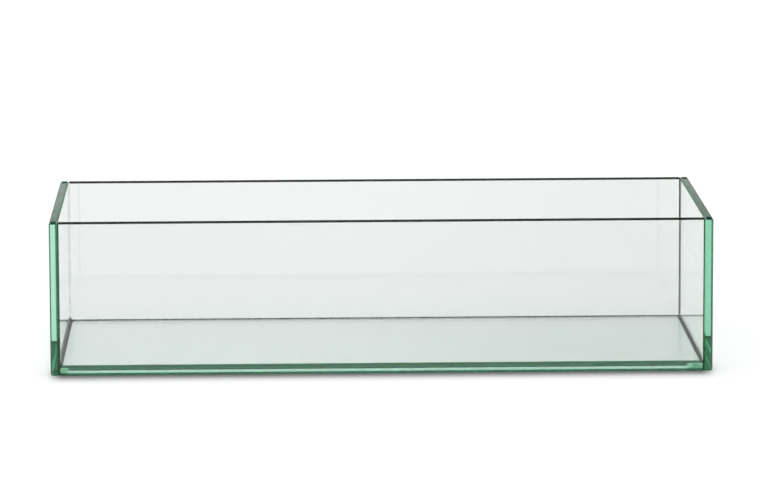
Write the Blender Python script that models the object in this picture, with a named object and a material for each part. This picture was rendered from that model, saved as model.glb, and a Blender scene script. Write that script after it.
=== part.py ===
"""A frameless glass aquarium tank: five sheets of float glass, bonded edge to face with clear silicone.

Metres, +Z up. The origin is the middle of the underside. +X runs along the tank and -Y is its front.
The two end panels run the full depth and cover the ends of the front and back panels. The base lies
inside the four walls, with its underside level with theirs. Each joint holds a flat seam of silicone,
and a sealing bead runs round the inside where the base meets the walls.
"""

import math

import bmesh
import bpy
from mathutils import Matrix

# Driving dimensions.
LENGTH = 0.610  # outside, along X
DEPTH = 0.268  # outside, along Y
HEIGHT = 0.142  # outside, along Z
WALL = 0.008  # thickness of the four upright panels
BASE = 0.0063  # thickness of the base panel
ARRIS = 0.0013  # width of the chamfer ground along the upright panels' exposed edges
BASE_ARRIS = 0.0008  # the same on the thinner base panel
JOINT = 0.0010  # space between two panels, which a seam fills
CLEARANCE = 0.0003  # left between silicone and the glass or silicone beside it
BEAD_LEG = 0.0024  # how far a sealing bead reaches over the base and up the wall
BACK_BEAD_LEG = 0.0012  # the same for the back bead, which is thinner
BEAD_TOE = 0.0003  # thickness of a bead's two thin edges
BEAD_STEPS = 6  # straight pieces in a bead's curved face
BEAD_HOLLOW_SHARE = 0.1  # how far that face dips below a straight slope, as a share of the leg

# Worked out from them.
INNER_LENGTH = LENGTH - 2 * WALL
INNER_DEPTH = DEPTH - 2 * WALL
PANEL_LENGTH = INNER_LENGTH - 2 * JOINT
BASE_DEPTH = INNER_DEPTH - 2 * JOINT
SEAM_THICKNESS = JOINT - 2 * CLEARANCE
END_X = (LENGTH - WALL) / 2  # middle of an end panel's thickness
FACE_Y = (DEPTH - WALL) / 2  # middle of the front or back panel's thickness
END_JOINT_X = (INNER_LENGTH - JOINT) / 2  # middle of a joint against an end panel
FACE_JOINT_Y = (INNER_DEPTH - JOINT) / 2  # middle of a joint against the front or back panel

SIDES = {"left": -1, "right": 1}
FACES = {"front": -1, "back": 1}


def clear_scene():
    for obj in list(bpy.data.objects):
        bpy.data.objects.remove(obj, do_unlink=True)


def make_material(name, color, roughness, ior):
    material = bpy.data.materials.new(name)
    material.use_nodes = True
    shader = material.node_tree.nodes["Principled BSDF"]
    shader.inputs["Base Color"].default_value = (*color, 1.0)
    shader.inputs["Metallic"].default_value = 0.0
    shader.inputs["Roughness"].default_value = roughness
    shader.inputs["IOR"].default_value = ior
    shader.inputs["Transmission Weight"].default_value = 1.0
    return material


def add_object(name, mesh, material):
    mesh.materials.append(material)
    obj = bpy.data.objects.new(name, mesh)
    bpy.context.scene.collection.objects.link(obj)
    return obj


def box_mesh(name, size):
    """A box of this size about its own middle."""
    mesh = bpy.data.meshes.new(name)
    bm = bmesh.new()
    bmesh.ops.create_cube(bm, size=1.0, matrix=Matrix.Diagonal((*size, 1.0)))
    bm.to_mesh(mesh)
    bm.free()
    return mesh


def panel_mesh(name, size, arris_width, axes):
    """A sheet about its own middle, with an arris along each edge that runs along one of these axes."""
    mesh = bpy.data.meshes.new(name)
    bm = bmesh.new()
    bmesh.ops.create_cube(bm, size=1.0, matrix=Matrix.Diagonal((*size, 1.0)))
    edges = []
    for edge in bm.edges:
        run = edge.verts[1].co - edge.verts[0].co
        if any(abs(run[axis]) > arris_width for axis in axes):
            edges.append(edge)
    bmesh.ops.bevel(bm, geom=edges, offset=arris_width, offset_type="OFFSET", segments=1, affect="EDGES")
    bmesh.ops.recalc_face_normals(bm, faces=bm.faces)
    bm.to_mesh(mesh)
    bm.free()
    return mesh


def add_panel(name, size, centre, arris_width=ARRIS, axes=(0, 1, 2)):
    color = (0.80, 0.93, 0.87)
    mesh = panel_mesh(name, size, arris_width, axes)
    panel = add_object(name, mesh, make_material(name + "_glass", color, 0.0, 1.52))
    panel.location = centre
    return panel


def add_seam(name, size, centre):
    """The flat film of silicone between two panels."""
    color = (0.62, 0.68, 0.65)
    seam = add_object(name, box_mesh(name, size), make_material(name + "_silicone", color, 0.35, 1.41))
    seam.location = centre
    return seam


def bead_profile(leg):
    """Points (out, up) round a bead's section, measured from the wall and from the base."""
    toe_out = (leg, CLEARANCE + BEAD_TOE)
    toe_up = (CLEARANCE + BEAD_TOE, leg)
    points = [(CLEARANCE, CLEARANCE), (leg, CLEARANCE)]
    for step in range(BEAD_STEPS + 1):
        share = step / BEAD_STEPS
        dip = BEAD_HOLLOW_SHARE * leg * math.sin(math.pi * share) / math.sqrt(2)
        out = toe_out[0] + (toe_up[0] - toe_out[0]) * share - dip
        up = toe_out[1] + (toe_up[1] - toe_out[1]) * share - dip
        points.append((out, up))
    points.append((CLEARANCE, leg))
    return points


def bead_mesh(name, length, leg):
    """A bead along X on a wall at y = 0, with the inside of the tank towards +Y and mitred ends."""
    mitre_gap = CLEARANCE / math.sqrt(2)
    bm = bmesh.new()
    rings = []
    for end in (-1, 1):
        ring = []
        for out, up in bead_profile(leg):
            ring.append(bm.verts.new((end * (length / 2 - out - mitre_gap), out, up)))
        rings.append(ring)
    count = len(rings[0])
    for i in range(count):
        j = (i + 1) % count
        bm.faces.new((rings[0][i], rings[0][j], rings[1][j], rings[1][i]))
    bm.faces.new(rings[0])
    bm.faces.new(rings[1])
    bmesh.ops.recalc_face_normals(bm, faces=bm.faces)
    mesh = bpy.data.meshes.new(name)
    bm.to_mesh(mesh)
    bm.free()
    mesh.shade_smooth()
    mesh.set_sharp_from_angle(angle=math.radians(30))
    return mesh


def add_bead(name, length, middle, turn, leg=BEAD_LEG):
    """A sealing bead on top of the base, with its wall's inside face at this middle point."""
    color = (0.60, 0.66, 0.63)
    silicone = make_material(name + "_silicone", color, 0.30, 1.41)
    bead = add_object(name, bead_mesh(name, length, leg), silicone)
    bead.location = middle
    bead.rotation_euler = (0.0, 0.0, turn)
    return bead


def add_panels():
    """The ends of the front and back panels are bonded, so they are cut square: only the long edges have an arris."""
    add_panel("base_panel", (PANEL_LENGTH, BASE_DEPTH, BASE), (0.0, 0.0, BASE / 2), BASE_ARRIS)
    for face, sign in FACES.items():
        add_panel(f"{face}_panel", (PANEL_LENGTH, WALL, HEIGHT), (0.0, sign * FACE_Y, HEIGHT / 2), axes=(0,))
    for side, sign in SIDES.items():
        add_panel(f"{side}_end_panel", (WALL, DEPTH, HEIGHT), (sign * END_X, 0.0, HEIGHT / 2))


def add_corner_seams():
    """Upright seams, between the end panels and the ends of the front and back panels.

    They run from the end panel's outer arris in to the corner inside the tank.
    """
    size = (SEAM_THICKNESS, WALL - ARRIS, HEIGHT - 2 * ARRIS)
    for face, y_sign in FACES.items():
        for side, x_sign in SIDES.items():
            centre = (x_sign * END_JOINT_X, y_sign * (FACE_Y - ARRIS / 2), HEIGHT / 2)
            add_seam(f"{face}_{side}_corner_seam", size, centre)


def add_base_seams():
    """Level seams, between the base's four edges and the walls."""
    seam_height = BASE - 2 * BASE_ARRIS
    for face, sign in FACES.items():
        size = (PANEL_LENGTH - 2 * BASE_ARRIS, SEAM_THICKNESS, seam_height)
        add_seam(f"{face}_base_seam", size, (0.0, sign * FACE_JOINT_Y, BASE / 2))
    for side, sign in SIDES.items():
        size = (SEAM_THICKNESS, BASE_DEPTH - 2 * BASE_ARRIS, seam_height)
        add_seam(f"{side}_base_seam", size, (sign * END_JOINT_X, 0.0, BASE / 2))


def add_base_beads():
    add_bead("front_base_bead", INNER_LENGTH, (0.0, -INNER_DEPTH / 2, BASE), 0.0)
    add_bead("right_base_bead", INNER_DEPTH, (INNER_LENGTH / 2, 0.0, BASE), math.pi / 2)
    add_bead("back_base_bead", INNER_LENGTH, (0.0, INNER_DEPTH / 2, BASE), math.pi, BACK_BEAD_LEG)
    add_bead("left_base_bead", INNER_DEPTH, (-INNER_LENGTH / 2, 0.0, BASE), -math.pi / 2)


def main():
    clear_scene()
    add_panels()
    add_corner_seams()
    add_base_seams()
    add_base_beads()


main()
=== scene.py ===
"""Looks for the frameless glass aquarium tank: float glass, clear silicone, a pale floor and soft light."""

import math

import bmesh
import bpy
from mathutils import Matrix, Vector, noise


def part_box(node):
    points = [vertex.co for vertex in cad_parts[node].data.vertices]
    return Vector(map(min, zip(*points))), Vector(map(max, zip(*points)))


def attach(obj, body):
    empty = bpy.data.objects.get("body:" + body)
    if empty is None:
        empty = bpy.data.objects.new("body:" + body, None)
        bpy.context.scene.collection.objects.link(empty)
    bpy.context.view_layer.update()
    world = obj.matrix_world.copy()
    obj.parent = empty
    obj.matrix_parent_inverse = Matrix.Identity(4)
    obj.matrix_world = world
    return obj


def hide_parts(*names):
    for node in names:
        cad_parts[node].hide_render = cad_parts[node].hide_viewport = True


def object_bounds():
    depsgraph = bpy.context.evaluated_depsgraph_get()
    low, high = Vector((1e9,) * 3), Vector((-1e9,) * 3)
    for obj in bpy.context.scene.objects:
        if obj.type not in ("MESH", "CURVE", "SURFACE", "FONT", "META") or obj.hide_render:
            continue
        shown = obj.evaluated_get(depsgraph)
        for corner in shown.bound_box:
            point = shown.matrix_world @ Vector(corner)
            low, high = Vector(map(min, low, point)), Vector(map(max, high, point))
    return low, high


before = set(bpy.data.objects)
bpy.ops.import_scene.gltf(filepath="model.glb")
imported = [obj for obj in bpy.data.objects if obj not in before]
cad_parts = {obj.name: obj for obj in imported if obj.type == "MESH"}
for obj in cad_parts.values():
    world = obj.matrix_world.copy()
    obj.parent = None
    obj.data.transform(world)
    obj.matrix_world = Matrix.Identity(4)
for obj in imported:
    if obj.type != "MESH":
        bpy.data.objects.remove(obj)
cad_low, cad_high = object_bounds()

# The camera, at the photograph's angle: metres, degrees and millimetres.
CAMERA_PLACE = (-0.1075, -4.4372, 0.8036)
CAMERA_PITCH = 9.0416
CAMERA_YAW = 1.416
CAMERA_ROLL = -0.203
CAMERA_LENS_MM = 224.73
SENSOR_MM = 36.0

GLASS_IOR = 1.52
BASE_IOR = 1.34  # lower than glass, because the base is bonded all round and shows hardly any glint
# Light lost per metre of glass: red, green, blue. Each sheet has its own, and the right end's is the highest.
WALL_LOSS = (3.7, 1.1, 2.2)
BASE_LOSS = (1.9, 0.25, 1.0)
LEFT_END_LOSS = (3.3, 0.95, 1.95)
RIGHT_END_LOSS = (5.1, 1.7, 3.1)
# What one pass through a sheet keeps: painted shade that dims what is seen through a face, darker towards the
# right ends of the back sheet and of the base.
CLEAR = (1.0, 1.0, 1.0)
FRONT_FACE_SHADE = (0.955, 0.955, 0.955)
BACK_FACE_SHADE = (0.865, 0.870, 0.868)
BACK_FAR_SHADE = (0.825, 0.830, 0.828)  # at the right end of the back sheet
END_FACE_SHADE = (0.965, 0.965, 0.965)
BASE_FACE_SHADE = (0.936, 0.912, 0.926)
BASE_FAR_SHADE = (0.865, 0.854, 0.862)  # at the right end of the base
# Painted shade: tints that darken the top edges, the arrises and undersides, the end sheets' tops above the
# joints, and their front edges beside the joints and along the top of the green.
RIM_SHADE_TINT = (0.002, 0.003, 0.0015)
ARRIS_SHADE_TINT = (0.012, 0.07, 0.035)
JOINT_SHADE_TINT = (0.001, 0.012, 0.005)
JOINT_RUN_SHADE_TINT = (0.02, 0.07, 0.035)
LINE_SHADE_TINT = (0.02, 0.10, 0.05)
# Roughness of ground edges, and of the base's top face, which is a little matt.
LONG_EDGE_ROUGH = 0.18
END_EDGE_ROUGH = 0.6
BASE_TOP_ROUGH = 0.25

# Sizes that the CAD pieces have, read from the frame.
END_LOW, END_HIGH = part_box("left_end_panel")
FRONT_LOW, FRONT_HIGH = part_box("front_panel")
BASE_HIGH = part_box("base_panel")[1]
WALL = END_HIGH.x - END_LOW.x
HEIGHT = END_HIGH.z - END_LOW.z
INNER_X = -END_HIGH.x  # inside faces of the end panels, at plus and minus this
INNER_Y = -FRONT_HIGH.y  # inside faces of the front and back panels
PANEL_X = FRONT_HIGH.x  # ends of the front and back panels, and of the base
BASE_Y = BASE_HIGH.y
BASE_TOP = BASE_HIGH.z
# Sizes that the CAD pieces have, but that their boxes don't tell.
ARRIS = 0.0013
BASE_ARRIS = 0.0008
BEAD_LEG = 0.0024
BACK_BEAD_LEG = 0.0012

# Silicone. Sizes are in metres.
GAP = 0.00002  # left between silicone and glass, so that no two surfaces coincide
SHORT = 0.0003  # by which seams stop short of the glass's outside faces
TOE = 0.0001  # thickness of a bead's two thin edges
CORNER_DIP = 0.00018  # how far the face of a corner seam is hollowed
CORNER_UNEVEN = 0.00006  # how much that varies either way
BEAD_HOLLOW_SHARE = 0.12  # how far the face of a bead is hollowed, as a share of its leg
BEAD_UNEVEN_SHARE = 0.05  # how much its leg varies either way
HAND_WAVES = 35.0  # rises and falls in a metre of silicone that was run by hand
BLOB_SHARE = 0.7  # how much the left bead swells at its far end, as a share of its leg
BLOB_REACH = 0.009  # length of that swelling
CORNER_STEPS = 24  # straight pieces in a corner seam
BEAD_STEPS = 90  # straight pieces in a bead

# Where the looks change, in metres.
RIM_BAND = (HEIGHT - 0.042, HEIGHT - 0.022)  # the looks of a top edge come in over this height
# Painted shade: the end sheets' front edges are painted green up to this height.
GREEN_SHADE_TOP = 0.0328  # how high the end sheets' front edges are green
STRIP_BAND = (0.0010, 0.0034)  # heights of the bright strip in the base's front edge
STRIP_LEFT = 0.0075 - PANEL_X  # ends of that strip
STRIP_RIGHT = PANEL_X - 0.0145
SHADOW_REACH = 0.045  # how far the floor is darkened in front of the tank

FLOOR_Z = -0.0002  # just under the tank, so that no two surfaces coincide
FLOOR_HALF = 150.0  # half the floor's width

# Strengths of the studio's light.
HORIZON_LIGHT = 1.04
WALL_LIGHT = 0.72
BEYOND_LIGHT = 0.14  # added behind the tank
RING_LIGHT = 0.85  # added in a ring between the walls and the ceiling
CEILING_LIGHT = -0.55  # taken away overhead
LEFT_SHARE = 1.08  # of the walls' light
RIGHT_SHARE = 0.90

SIDES = {"left": -1, "right": 1}
FACES = {"front": -1, "back": 1}


# Nodes

def sum_up(tree, operation, *values, clamp=False):
    """A Math node's output. Each value is a number or a socket."""
    node = tree.nodes.new("ShaderNodeMath")
    node.operation = operation
    node.use_clamp = clamp
    for socket, value in zip(node.inputs, values):
        if isinstance(value, bpy.types.NodeSocket):
            tree.links.new(value, socket)
        else:
            socket.default_value = value
    return node.outputs[0]


def step_up(tree, value, low, high, bottom=0.0, top=1.0):
    """A smooth step from bottom to top as value goes from low to high."""
    node = tree.nodes.new("ShaderNodeMapRange")
    node.interpolation_type = "SMOOTHSTEP"
    tree.links.new(value, node.inputs["Value"])
    for name, number in (("From Min", low), ("From Max", high), ("To Min", bottom), ("To Max", top)):
        node.inputs[name].default_value = number
    return node.outputs["Result"]


def step_down(tree, value, low, high):
    """A smooth step from 1 to 0 as value goes from low to high."""
    return step_up(tree, value, low, high, 1.0, 0.0)


def all_of(tree, first, *others):
    """The product of masks, which is 1 only where all of them are."""
    for other in others:
        first = sum_up(tree, "MULTIPLY", first, other)
    return first


def any_of(tree, first, *others):
    """The largest of some masks."""
    for other in others:
        first = sum_up(tree, "MAXIMUM", first, other)
    return first


def mix_colors(tree, share, first, second):
    """A color between two others, each given as three numbers or a socket."""
    node = tree.nodes.new("ShaderNodeMix")
    node.data_type = "RGBA"
    tree.links.new(share, node.inputs["Factor"])
    for socket, value in ((node.inputs["A"], first), (node.inputs["B"], second)):
        if isinstance(value, bpy.types.NodeSocket):
            tree.links.new(value, socket)
        else:
            socket.default_value = (*value, 1.0)
    return node.outputs["Result"]


def stretched_noise(tree, scale, stretch, detail=3.0, rough=0.5):
    """Noise in the frame's own coordinates, stretched by a different scale along each axis."""
    place = tree.nodes.new("ShaderNodeTexCoord").outputs["Object"]
    mapping = tree.nodes.new("ShaderNodeMapping")
    mapping.inputs["Scale"].default_value = stretch
    tree.links.new(place, mapping.inputs["Vector"])
    texture = tree.nodes.new("ShaderNodeTexNoise")
    texture.inputs["Scale"].default_value = scale
    texture.inputs["Detail"].default_value = detail
    texture.inputs["Roughness"].default_value = rough
    tree.links.new(mapping.outputs["Vector"], texture.inputs["Vector"])
    return texture.outputs["Fac"]


def normal_parts(tree):
    """How far a face looks along X, Y and Z, each from 0 to 1."""
    normal = tree.nodes.new("ShaderNodeNewGeometry").outputs["True Normal"]
    parts = tree.nodes.new("ShaderNodeSeparateXYZ")
    tree.links.new(normal, parts.inputs[0])
    return [sum_up(tree, "ABSOLUTE", parts.outputs[axis]) for axis in "XYZ"]


def places(tree):
    """The shaded point's X, Y and Z in the frame, in metres."""
    parts = tree.nodes.new("ShaderNodeSeparateXYZ")
    tree.links.new(tree.nodes.new("ShaderNodeTexCoord").outputs["Object"], parts.inputs[0])
    return [parts.outputs[axis] for axis in "XYZ"]


def add_absorption(tree, loss):
    """Beer's law inside a closed piece, from the loss per metre of red, green and blue."""
    absorb = tree.nodes.new("ShaderNodeVolumeAbsorption")
    density = max(loss) * 1.02
    absorb.inputs["Color"].default_value = (*(1 - part / density for part in loss), 1)
    absorb.inputs["Density"].default_value = density
    tree.links.new(absorb.outputs["Volume"], tree.nodes["Material Output"].inputs["Volume"])


def add_bump(tree, shader, height, strength, distance):
    """Bumps on a shader. strength is a number or a socket."""
    bump = tree.nodes.new("ShaderNodeBump")
    if isinstance(strength, bpy.types.NodeSocket):
        tree.links.new(strength, bump.inputs["Strength"])
    else:
        bump.inputs["Strength"].default_value = strength
    bump.inputs["Distance"].default_value = distance
    tree.links.new(height, bump.inputs["Height"])
    tree.links.new(bump.outputs["Normal"], shader.inputs["Normal"])
    return bump


# Materials

def glass_shader(name):
    """A new clear glass: its material, node tree and shader."""
    material = bpy.data.materials.new(name)
    material.use_nodes = True
    tree = material.node_tree
    shader = tree.nodes["Principled BSDF"]
    shader.inputs["IOR"].default_value = GLASS_IOR
    shader.inputs["Transmission Weight"].default_value = 1.0
    return material, tree, shader


def on_arris(tree, parts):
    """1 on a sloping arris, and 0 on a face that looks squarely along an axis."""
    return step_down(tree, any_of(tree, *parts), 0.80, 0.95)


def on_level(tree, across_z):
    """1 on a face that looks up or down."""
    return step_up(tree, across_z, 0.90, 0.97)


def at_rim(tree, z):
    """1 near the top of the tank."""
    return step_up(tree, z, *RIM_BAND)


def wiped_film(tree):
    """Roughness of a face, clear but for faint wipe marks that run mostly upright."""
    return step_up(tree, stretched_noise(tree, 25.0, (1.0, 1.0, 0.35), 3.0), 0.45, 0.75, 0.0, 0.012)


def ground_marks(tree, along, edge_rough):
    """Fine grinding marks, drawn out along the panel's length, and the roughness they give."""
    marks = stretched_noise(tree, 900.0, along, 4.0, 0.65)
    return marks, step_up(tree, marks, 0.3, 0.7, 0.8 * edge_rough, 1.2 * edge_rough)


def lean_forward(tree, bump, share):
    """Shades a top edge as though it were rounded over towards the front, where share is 1."""
    tilt = tree.nodes.new("ShaderNodeCombineXYZ")
    tree.links.new(sum_up(tree, "MULTIPLY", share, -1.0), tilt.inputs["Y"])
    lean = tree.nodes.new("ShaderNodeVectorMath")
    tree.links.new(tree.nodes.new("ShaderNodeNewGeometry").outputs["True Normal"], lean.inputs[0])
    tree.links.new(tilt.outputs[0], lean.inputs[1])
    even = tree.nodes.new("ShaderNodeVectorMath")
    even.operation = "NORMALIZE"
    tree.links.new(lean.outputs[0], even.inputs[0])
    tree.links.new(even.outputs[0], bump.inputs["Normal"])


def long_glass_material(name, face_shade_tint, far_shade_tint):
    """A front or back sheet: faces dimmed with painted shade, ground arrises and underside painted dark with
    shade, and a slightly rounded top edge painted near black with shade.
    """
    material, tree, shader = glass_shader(name)
    parts = normal_parts(tree)
    x, _, z = places(tree)
    level = on_level(tree, parts[2])
    ground_and_shaded = any_of(tree, on_arris(tree, parts), level)
    # Painted shade dims the face above the base, darker towards the right end.
    film = mix_colors(tree, step_up(tree, x, -0.05, 0.28), face_shade_tint, far_shade_tint)
    face = mix_colors(tree, step_up(tree, z, BASE_TOP, BASE_TOP + 0.0005), CLEAR, film)
    # Painted shade: dark green on the arrises and underside, near black on the top edge.
    dark = mix_colors(tree, at_rim(tree, z), ARRIS_SHADE_TINT, RIM_SHADE_TINT)
    tree.links.new(mix_colors(tree, ground_and_shaded, face, dark), shader.inputs["Base Color"])
    marks, coarse = ground_marks(tree, (0.03, 1.0, 1.0), LONG_EDGE_ROUGH)
    rough = sum_up(tree, "ADD", wiped_film(tree), all_of(tree, ground_and_shaded, coarse), clamp=True)
    tree.links.new(rough, shader.inputs["Roughness"])
    top = all_of(tree, level, at_rim(tree, z))
    lean_forward(tree, add_bump(tree, shader, marks, ground_and_shaded, 0.00001), top)
    add_absorption(tree, WALL_LOSS)
    return material


def bonded_edge(tree, across_z, from_inside):
    """1 on an end sheet's upright arrises beside the joint, which silicone wets, so that they look clear."""
    beside_joint = step_down(tree, from_inside, ARRIS, ARRIS + 0.0002)
    return all_of(tree, step_down(tree, across_z, 0.2, 0.5), beside_joint)


def rim_joint_shade(tree, across_z, y, z):
    """1 on the top of an end sheet above the front and back joints, where shade is painted near black."""
    front = step_down(tree, y, 0.0024 - INNER_Y, 0.0030 - INNER_Y)
    back = step_up(tree, y, INNER_Y - 0.0080, INNER_Y - 0.0074)
    return all_of(tree, step_up(tree, across_z, 0.5, 0.6), at_rim(tree, z), any_of(tree, front, back))


def paint_front_edge_shade(tree, color, across_y, y, z, from_inside, low_shade_tint, shade_inside):
    """Paints shade on an end sheet's front edge: green low down, where the underside shows, with paler
    streaks and a darker line along its top, and dark by the joint.
    """
    edge = all_of(tree, step_up(tree, across_y, 0.3, 0.6), step_down(tree, y, 0.0, 0.01))
    streaks = stretched_noise(tree, 150.0, (1.0, 1.0, 0.6), 2.0)
    height = sum_up(tree, "ADD", z, sum_up(tree, "MULTIPLY", streaks, 0.0008))
    low = step_down(tree, height, GREEN_SHADE_TOP - 0.0006, GREEN_SHADE_TOP)
    line = all_of(tree, low, step_up(tree, height, GREEN_SHADE_TOP - 0.0024, GREEN_SHADE_TOP - 0.0016))
    paler_shade_tint = tuple(min(1, 2.2 * part) for part in low_shade_tint)
    shade = mix_colors(tree, step_up(tree, streaks, 0.40, 0.62), low_shade_tint, paler_shade_tint)
    shade = mix_colors(tree, line, shade, LINE_SHADE_TINT)
    color = mix_colors(tree, all_of(tree, edge, low), color, shade)
    run = step_down(tree, from_inside, shade_inside, shade_inside + 0.0002)
    return mix_colors(tree, all_of(tree, edge, run), color, JOINT_RUN_SHADE_TINT)


def end_glass_material(name, loss, top_shade_tint, low_shade_tint, shade_inside):
    """An end sheet.

    Tints of painted shade for its top edge and for the lower part of its front edge follow the loss. The last
    argument is how far from the inside face its front edge is painted dark beside the joint.
    """
    material, tree, shader = glass_shader(name)
    parts = normal_parts(tree)
    across_y, across_z = parts[1:]
    x, y, z = places(tree)
    from_inside = sum_up(tree, "SUBTRACT", sum_up(tree, "ABSOLUTE", x), INNER_X)
    polished = bonded_edge(tree, across_z, from_inside)
    arris = all_of(tree, on_arris(tree, parts), sum_up(tree, "SUBTRACT", 1.0, polished))
    level = on_level(tree, across_z)
    under = all_of(tree, level, step_down(tree, z, 0.0005, 0.001))
    joint_shade = rim_joint_shade(tree, across_z, y, z)

    # Painted shade: the faces are dimmed, and the top edge is dark grey-green and mottled, darker on the
    # right sheet.
    blotches = step_up(tree, stretched_noise(tree, 60.0, (1, 1, 1), 2.0), 0.35, 0.65)
    darker_top_shade = tuple(0.72 * part for part in top_shade_tint)
    color = mix_colors(tree, level, END_FACE_SHADE, mix_colors(tree, blotches, darker_top_shade, top_shade_tint))
    color = paint_front_edge_shade(tree, color, across_y, y, z, from_inside, low_shade_tint, shade_inside)
    # Painted shade: dark green on the underside and on the arrises that are not bonded.
    color = mix_colors(tree, any_of(tree, under, arris), color, ARRIS_SHADE_TINT)
    # Painted shade: near black on the top above the joints, continuing the dark top edges.
    color = mix_colors(tree, joint_shade, color, JOINT_SHADE_TINT)
    tree.links.new(color, shader.inputs["Base Color"])

    marks, coarse = ground_marks(tree, (1.0, 0.03, 1.0), END_EDGE_ROUGH)
    coarse = all_of(tree, coarse, step_up(tree, across_z, 0.5, 0.6, 0.3, 1.0))
    coarse = all_of(tree, any_of(tree, coarse, under), step_up(tree, joint_shade, 0.0, 1.0, 1.0, 0.4))
    matt = any_of(tree, arris, level)
    rough = sum_up(tree, "ADD", wiped_film(tree), all_of(tree, matt, coarse), clamp=True)
    tree.links.new(rough, shader.inputs["Roughness"])
    lean_forward(tree, add_bump(tree, shader, marks, matt, 0.00002), all_of(tree, joint_shade, level))
    add_absorption(tree, loss)
    return material


def base_edge_shade(tree, x, z):
    """Where shade is painted on the base's front edge, round a bright strip, and the painted tint: near black
    along the run, dark green near its top, and green at the ends with paler blotches.
    """
    uneven = stretched_noise(tree, 40.0, (1, 1, 1), 2.0)
    height = sum_up(tree, "ADD", z, sum_up(tree, "MULTIPLY", uneven, 0.0003))
    above = step_up(tree, height, STRIP_BAND[1], STRIP_BAND[1] + 0.0004)
    below = step_down(tree, height, STRIP_BAND[0] - 0.0004, STRIP_BAND[0])
    left = step_down(tree, x, STRIP_LEFT - 0.001, STRIP_LEFT)
    ends = any_of(tree, left, step_up(tree, x, STRIP_RIGHT, STRIP_RIGHT + 0.001))
    near_top = step_up(tree, height, 0.0046, 0.0052)
    dark_run_shade = mix_colors(tree, near_top, (0.0002, 0.008, 0.003), (0.003, 0.05, 0.02))
    end_block_shade = mix_colors(tree, step_up(tree, x, -0.01, 0.01), (0.16, 0.42, 0.22), (0.05, 0.24, 0.11))
    blotches = step_up(tree, stretched_noise(tree, 170.0, (1, 1, 1), 2.0), 0.42, 0.58)
    end_block_shade = mix_colors(tree, blotches, end_block_shade, (0.30, 0.60, 0.42))
    return any_of(tree, above, below, ends), mix_colors(tree, ends, dark_run_shade, end_block_shade)


def base_glass_material(name):
    """The base sheet: a slightly matt top face, top face and underside dimmed with painted shade, and painted
    shade on the front edge round a bright strip.
    """
    material, tree, shader = glass_shader(name)
    shader.inputs["IOR"].default_value = BASE_IOR
    across_z = normal_parts(tree)[2]
    x, y, z = places(tree)
    side = step_down(tree, across_z, 0.80, 0.95)
    # Painted shade covers the front edge round the bright strip.
    shaded_edge, tint = base_edge_shade(tree, x, z)
    shaded_edge = all_of(tree, shaded_edge, side, step_down(tree, y, 0.0, 0.01))
    # Painted shade dims the top face and the underside, darker towards the right end.
    face = mix_colors(tree, step_up(tree, x, -0.15, 0.28), BASE_FACE_SHADE, BASE_FAR_SHADE)
    face = mix_colors(tree, side, face, CLEAR)
    tree.links.new(mix_colors(tree, shaded_edge, face, tint), shader.inputs["Base Color"])
    top = all_of(tree, on_level(tree, across_z), step_up(tree, z, 0.003, 0.004))
    rough = sum_up(tree, "ADD", wiped_film(tree), sum_up(tree, "MULTIPLY", top, BASE_TOP_ROUGH))
    tree.links.new(rough, shader.inputs["Roughness"])
    add_absorption(tree, BASE_LOSS)
    return material


def silicone_material(name, tint, loss, rough, ior, cloudy=0.8):
    """Cured clear silicone: a satin, slightly uneven skin over a body that swallows light with depth.

    The body's tint varies from cloudy times tint to tint.
    """
    material, tree, shader = glass_shader(name)
    shader.inputs["IOR"].default_value = ior
    cloud = stretched_noise(tree, 180.0, (1, 1, 1), 3.0)
    body = mix_colors(tree, step_up(tree, cloud, 0.3, 0.7), tuple(cloudy * part for part in tint), tint)
    # Painted shade: near black on the seam's top at the rim, like the top edges.
    cap = all_of(tree, on_level(tree, normal_parts(tree)[2]), at_rim(tree, places(tree)[2]))
    tree.links.new(mix_colors(tree, cap, body, RIM_SHADE_TINT), shader.inputs["Base Color"])
    tree.links.new(step_up(tree, cloud, 0.3, 0.7, 0.8 * rough, 1.2 * rough), shader.inputs["Roughness"])
    bump = add_bump(tree, shader, stretched_noise(tree, 400.0, (1, 1, 1), 2.0), 0.3, 0.00002)
    lean_forward(tree, bump, cap)
    add_absorption(tree, loss)
    return material


# The stage

def add_camera():
    """Far off and slightly above, a little to the left of the tank's middle."""
    data = bpy.data.cameras.new("camera")
    data.lens = CAMERA_LENS_MM
    data.sensor_width = SENSOR_MM
    data.clip_end = 400.0
    camera = bpy.data.objects.new("camera", data)
    bpy.context.scene.collection.objects.link(camera)
    turn = Matrix.Rotation(math.radians(-CAMERA_YAW), 4, "Z")
    tilt = Matrix.Rotation(math.radians(90 - CAMERA_PITCH), 4, "X")
    roll = Matrix.Rotation(math.radians(CAMERA_ROLL), 4, "Z")
    camera.matrix_world = Matrix.Translation(CAMERA_PLACE) @ turn @ tilt @ roll
    bpy.context.scene.camera = camera


def add_floor():
    """A wide white sheet just under the tank."""
    mesh = bpy.data.meshes.new("floor")
    bm = bmesh.new()
    bmesh.ops.create_grid(bm, x_segments=1, y_segments=1, size=FLOOR_HALF)
    bm.to_mesh(mesh)
    bm.free()
    floor = bpy.data.objects.new("floor", mesh)
    floor.location.z = FLOOR_Z
    bpy.context.scene.collection.objects.link(floor)
    mesh.materials.append(floor_material())


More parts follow.
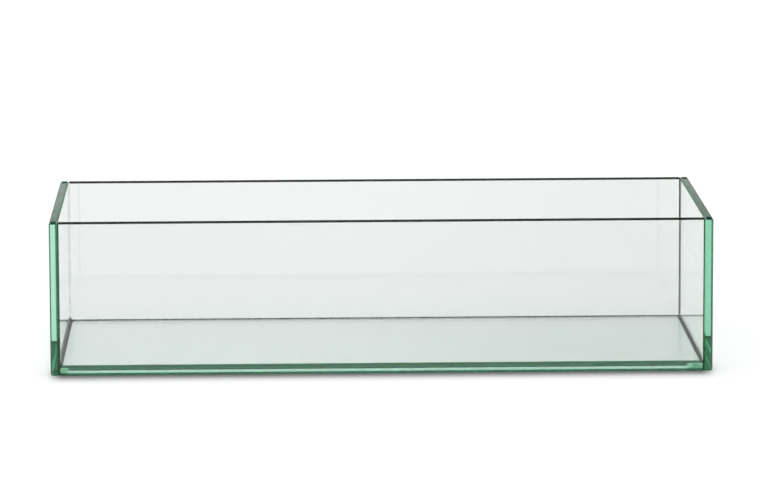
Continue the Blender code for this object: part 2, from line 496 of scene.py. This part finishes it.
def floor_material():
    """Matt white, darker in a narrow band along the foot of the front sheet, for its shadow."""
    material = bpy.data.materials.new("floor")
    material.use_nodes = True
    tree = material.node_tree
    shader = tree.nodes["Principled BSDF"]
    shader.inputs["Roughness"].default_value = 0.9
    shader.inputs["Specular IOR Level"].default_value = 0.0
    x, y, _ = places(tree)
    ahead = sum_up(tree, "SUBTRACT", FRONT_LOW.y, y)
    beside = sum_up(tree, "SUBTRACT", sum_up(tree, "ABSOLUTE", x), cad_high.x)
    strength = step_up(tree, ahead, 0.004, 0.030, 0.74, 0.42)
    fade = step_down(tree, ahead, 0.004, SHADOW_REACH)
    before = step_up(tree, ahead, -0.004, 0.0)
    between = step_down(tree, beside, -0.012, 0.005)
    shade = all_of(tree, strength, fade, before, between)
    tree.links.new(mix_colors(tree, shade, (0.9, 0.9, 0.9), (0.0, 0.0, 0.0)), shader.inputs["Base Color"])
    return material


def add_world():
    """A pale studio: a white horizon, dimmer walls, and a ring of soft light round a dim ceiling."""
    world = bpy.data.worlds.new("studio")
    bpy.context.scene.world = world
    world.use_nodes = True
    tree = world.node_tree
    parts = tree.nodes.new("ShaderNodeSeparateXYZ")
    tree.links.new(tree.nodes.new("ShaderNodeTexCoord").outputs["Generated"], parts.inputs[0])
    height = parts.outputs["Z"]
    beyond = step_up(tree, parts.outputs["Y"], 0.0, 0.6, 0.0, BEYOND_LIGHT)
    walls = sum_up(tree, "ADD", step_up(tree, height, 0.03, 0.15, HORIZON_LIGHT, WALL_LIGHT), beyond)
    share = step_up(tree, parts.outputs["X"], -0.25, 0.35, LEFT_SHARE, RIGHT_SHARE)
    ring = all_of(tree, step_up(tree, height, 0.32, 0.42), step_down(tree, height, 0.82, 0.93))
    strength = sum_up(tree, "ADD", all_of(tree, walls, share), sum_up(tree, "MULTIPLY", ring, RING_LIGHT))
    strength = sum_up(tree, "ADD", strength, step_up(tree, height, 0.82, 0.93, 0.0, CEILING_LIGHT))
    background = tree.nodes["Background"]
    tree.links.new(strength, background.inputs["Strength"])
    background.inputs["Color"].default_value = (1, 1, 1, 1)


def set_up_render():
    """Enough bounces for light to cross every sheet of glass and come back."""
    scene = bpy.context.scene
    scene.view_settings.view_transform = "Standard"
    scene.cycles.max_bounces = 64
    scene.cycles.glossy_bounces = 48
    scene.cycles.transmission_bounces = 48
    scene.cycles.blur_glossy = 0.0


# Silicone pieces

def add_piece(name, mesh, material, node):
    """A piece of silicone that replaces a CAD node."""
    mesh.materials.append(material)
    piece = bpy.data.objects.new(name, mesh)
    bpy.context.scene.collection.objects.link(piece)
    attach(piece, "root")
    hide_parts(node)


def swept_mesh(name, rings):
    """A closed piece through rings of points, one after the other, with flat ends."""
    bm = bmesh.new()
    loops = [[bm.verts.new(point) for point in ring] for ring in rings]
    for here, there in zip(loops, loops[1:]):
        for i in range(len(here)):
            j = (i + 1) % len(here)
            bm.faces.new((here[i], here[j], there[j], there[i]))
    bm.faces.new(loops[0])
    bm.faces.new(loops[-1])
    bmesh.ops.recalc_face_normals(bm, faces=bm.faces)
    mesh = bpy.data.meshes.new(name)
    bm.to_mesh(mesh)
    bm.free()
    mesh.shade_smooth()
    mesh.set_sharp_from_angle(angle=math.radians(35))
    return mesh


def dished(first, last, dip, steps=6):
    """Points from first to last along a shallow hollow, whose middle lies dip to the right of a line."""
    first, last = Vector(first), Vector(last)
    way = last - first
    right = Vector((way.y, -way.x)).normalized()
    points = []
    for step in range(steps + 1):
        share = step / steps
        points.append(first + way * share + right * dip * math.sin(math.pi * share))
    return points


def hand_run(place, seed, amount):
    """A slow unevenness along a hand-run bead, about amount either way."""
    return amount * noise.noise(Vector((place * HAND_WAVES, seed, 0.0)))


def corner_profile(dip):
    """Section of an upright joint: u from the end panel's inside face, v inwards from the outside face."""
    joint = INNER_X - PANEL_X - GAP
    outside = dished((GAP, ARRIS), (joint, SHORT), -dip)
    inside = dished((joint, WALL - GAP), (GAP, WALL - GAP), -dip)
    return outside + inside


def add_corner_seam(face, side, material):
    name = f"{face}_{side}_corner_seam"
    rings = []
    for step in range(CORNER_STEPS + 1):
        z = SHORT + (HEIGHT - 2 * SHORT) * step / CORNER_STEPS
        dip = CORNER_DIP + hand_run(z, len(name), CORNER_UNEVEN)
        ring = []
        for u, v in corner_profile(dip):
            ring.append((SIDES[side] * (INNER_X - u), FACES[face] * (INNER_Y + WALL - v), z))
        rings.append(ring)
    add_piece(name + "_run", swept_mesh(name, rings), material, name)


def base_profile():
    """Section of a joint at the base's edge: u from the wall's inside face, v up from the underside."""
    joint = INNER_Y - BASE_Y
    under = [(GAP, SHORT), (joint + BASE_ARRIS / 2, SHORT)]
    edge = [(joint - GAP, BASE_ARRIS), (joint - GAP, BASE_TOP - BASE_ARRIS)]
    top = [(joint + BASE_ARRIS - GAP, BASE_TOP - GAP), (GAP, BASE_TOP - GAP)]
    return under + edge + top


def wall_places(where):
    """For a wall, a function from (along, out, up) to a place, and half the wall's inside length."""
    if where in FACES:
        sign = FACES[where]
        return lambda along, out, up: (along, sign * (INNER_Y - out), up), INNER_X
    sign = SIDES[where]
    return lambda along, out, up: (sign * (INNER_X - out), along, up), INNER_Y


def add_base_seam(where, material):
    place, half = wall_places(where)
    reach = half - (INNER_X - PANEL_X) - BASE_ARRIS
    name = f"{where}_base_seam"
    rings = [[place(along, u, v) for u, v in base_profile()] for along in (-reach, 0.0, reach)]
    add_piece(name + "_film", swept_mesh(name, rings), material, name)


def bead_profile(leg):
    """Section of a bead: out from the wall's inside face, and the height."""
    up = BASE_TOP + GAP
    hollow = dished((leg, up + TOE), (GAP + TOE, up + leg), -BEAD_HOLLOW_SHARE * leg)
    return [(GAP, up), (leg, up), *hollow, (GAP, up + leg)]


def add_base_bead(where, leg, material, blob=0.0):
    """The sealing bead along one wall. At its far end it swells by blob, a share of its leg."""
    place, half = wall_places(where)
    name = f"{where}_base_bead"
    ends = half - GAP
    rings = []
    for step in range(BEAD_STEPS + 1):
        middle = half * (2 * step / BEAD_STEPS - 1)
        swell = blob * max(0.0, 1 - (half - middle) / BLOB_REACH)
        size = leg * (1 + hand_run(middle, len(name), BEAD_UNEVEN_SHARE) + swell)
        rings.append([place(middle / half * (ends - out), out, up) for out, up in bead_profile(size)])
    add_piece(name + "_run", swept_mesh(name, rings), material, name)


def dress(name, material):
    """Gives a CAD node this material and no other."""
    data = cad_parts[name].data
    data.materials.clear()
    data.materials.append(material)


def dress_panels():
    left = end_glass_material(
        "glass_left_end", LEFT_END_LOSS, top_shade_tint=(0.14, 0.16, 0.145), low_shade_tint=(0.045, 0.30, 0.15),
        shade_inside=ARRIS + 0.0008)
    right = end_glass_material(
        "glass_right_end", RIGHT_END_LOSS, top_shade_tint=(0.10, 0.115, 0.10), low_shade_tint=(0.07, 0.48, 0.21),
        shade_inside=0.0002)
    dress("front_panel", long_glass_material("glass_front", FRONT_FACE_SHADE, FRONT_FACE_SHADE))
    dress("back_panel", long_glass_material("glass_back", BACK_FACE_SHADE, BACK_FAR_SHADE))
    dress("left_end_panel", left)
    dress("right_end_panel", right)
    dress("base_panel", base_glass_material("glass_base"))


def add_corner_seams():
    front = silicone_material(
        "silicone_front_corners", tint=(0.22, 0.36, 0.20), loss=(350.0, 230.0, 330.0), rough=0.2, ior=1.2)
    clear = silicone_material(
        "silicone_back_left", tint=(0.96, 0.97, 0.96), loss=(12.0, 8.0, 10.0), rough=0.05, ior=1.1)
    dark = silicone_material(
        "silicone_back_right", tint=(0.50, 0.56, 0.53), loss=(600.0, 560.0, 580.0), rough=0.2, ior=1.2)
    add_corner_seam("front", "left", front)
    add_corner_seam("front", "right", front)
    add_corner_seam("back", "left", clear)
    add_corner_seam("back", "right", dark)


def add_base_seams():
    film = silicone_material(
        "silicone_film", tint=(0.98, 0.985, 0.98), loss=(30.0, 15.0, 22.0), rough=0.02, ior=1.03, cloudy=0.98)
    for where in (*FACES, *SIDES):
        add_base_seam(where, film)


def add_base_beads():
    grey = silicone_material(
        "silicone_bead", tint=(0.13, 0.16, 0.14), loss=(1100.0, 950.0, 1020.0), rough=0.3, ior=1.07)
    green = silicone_material(
        "silicone_front_bead", tint=(0.02, 0.26, 0.11), loss=(900.0, 400.0, 600.0), rough=0.2, ior=1.15)
    add_base_bead("front", BEAD_LEG, green)
    add_base_bead("left", BEAD_LEG, grey, BLOB_SHARE)
    add_base_bead("right", BEAD_LEG, grey)
    add_base_bead("back", BACK_BEAD_LEG, grey)


def main():
    add_camera()
    add_floor()
    add_world()
    set_up_render()
    dress_panels()
    add_corner_seams()
    add_base_seams()
    add_base_beads()


main()
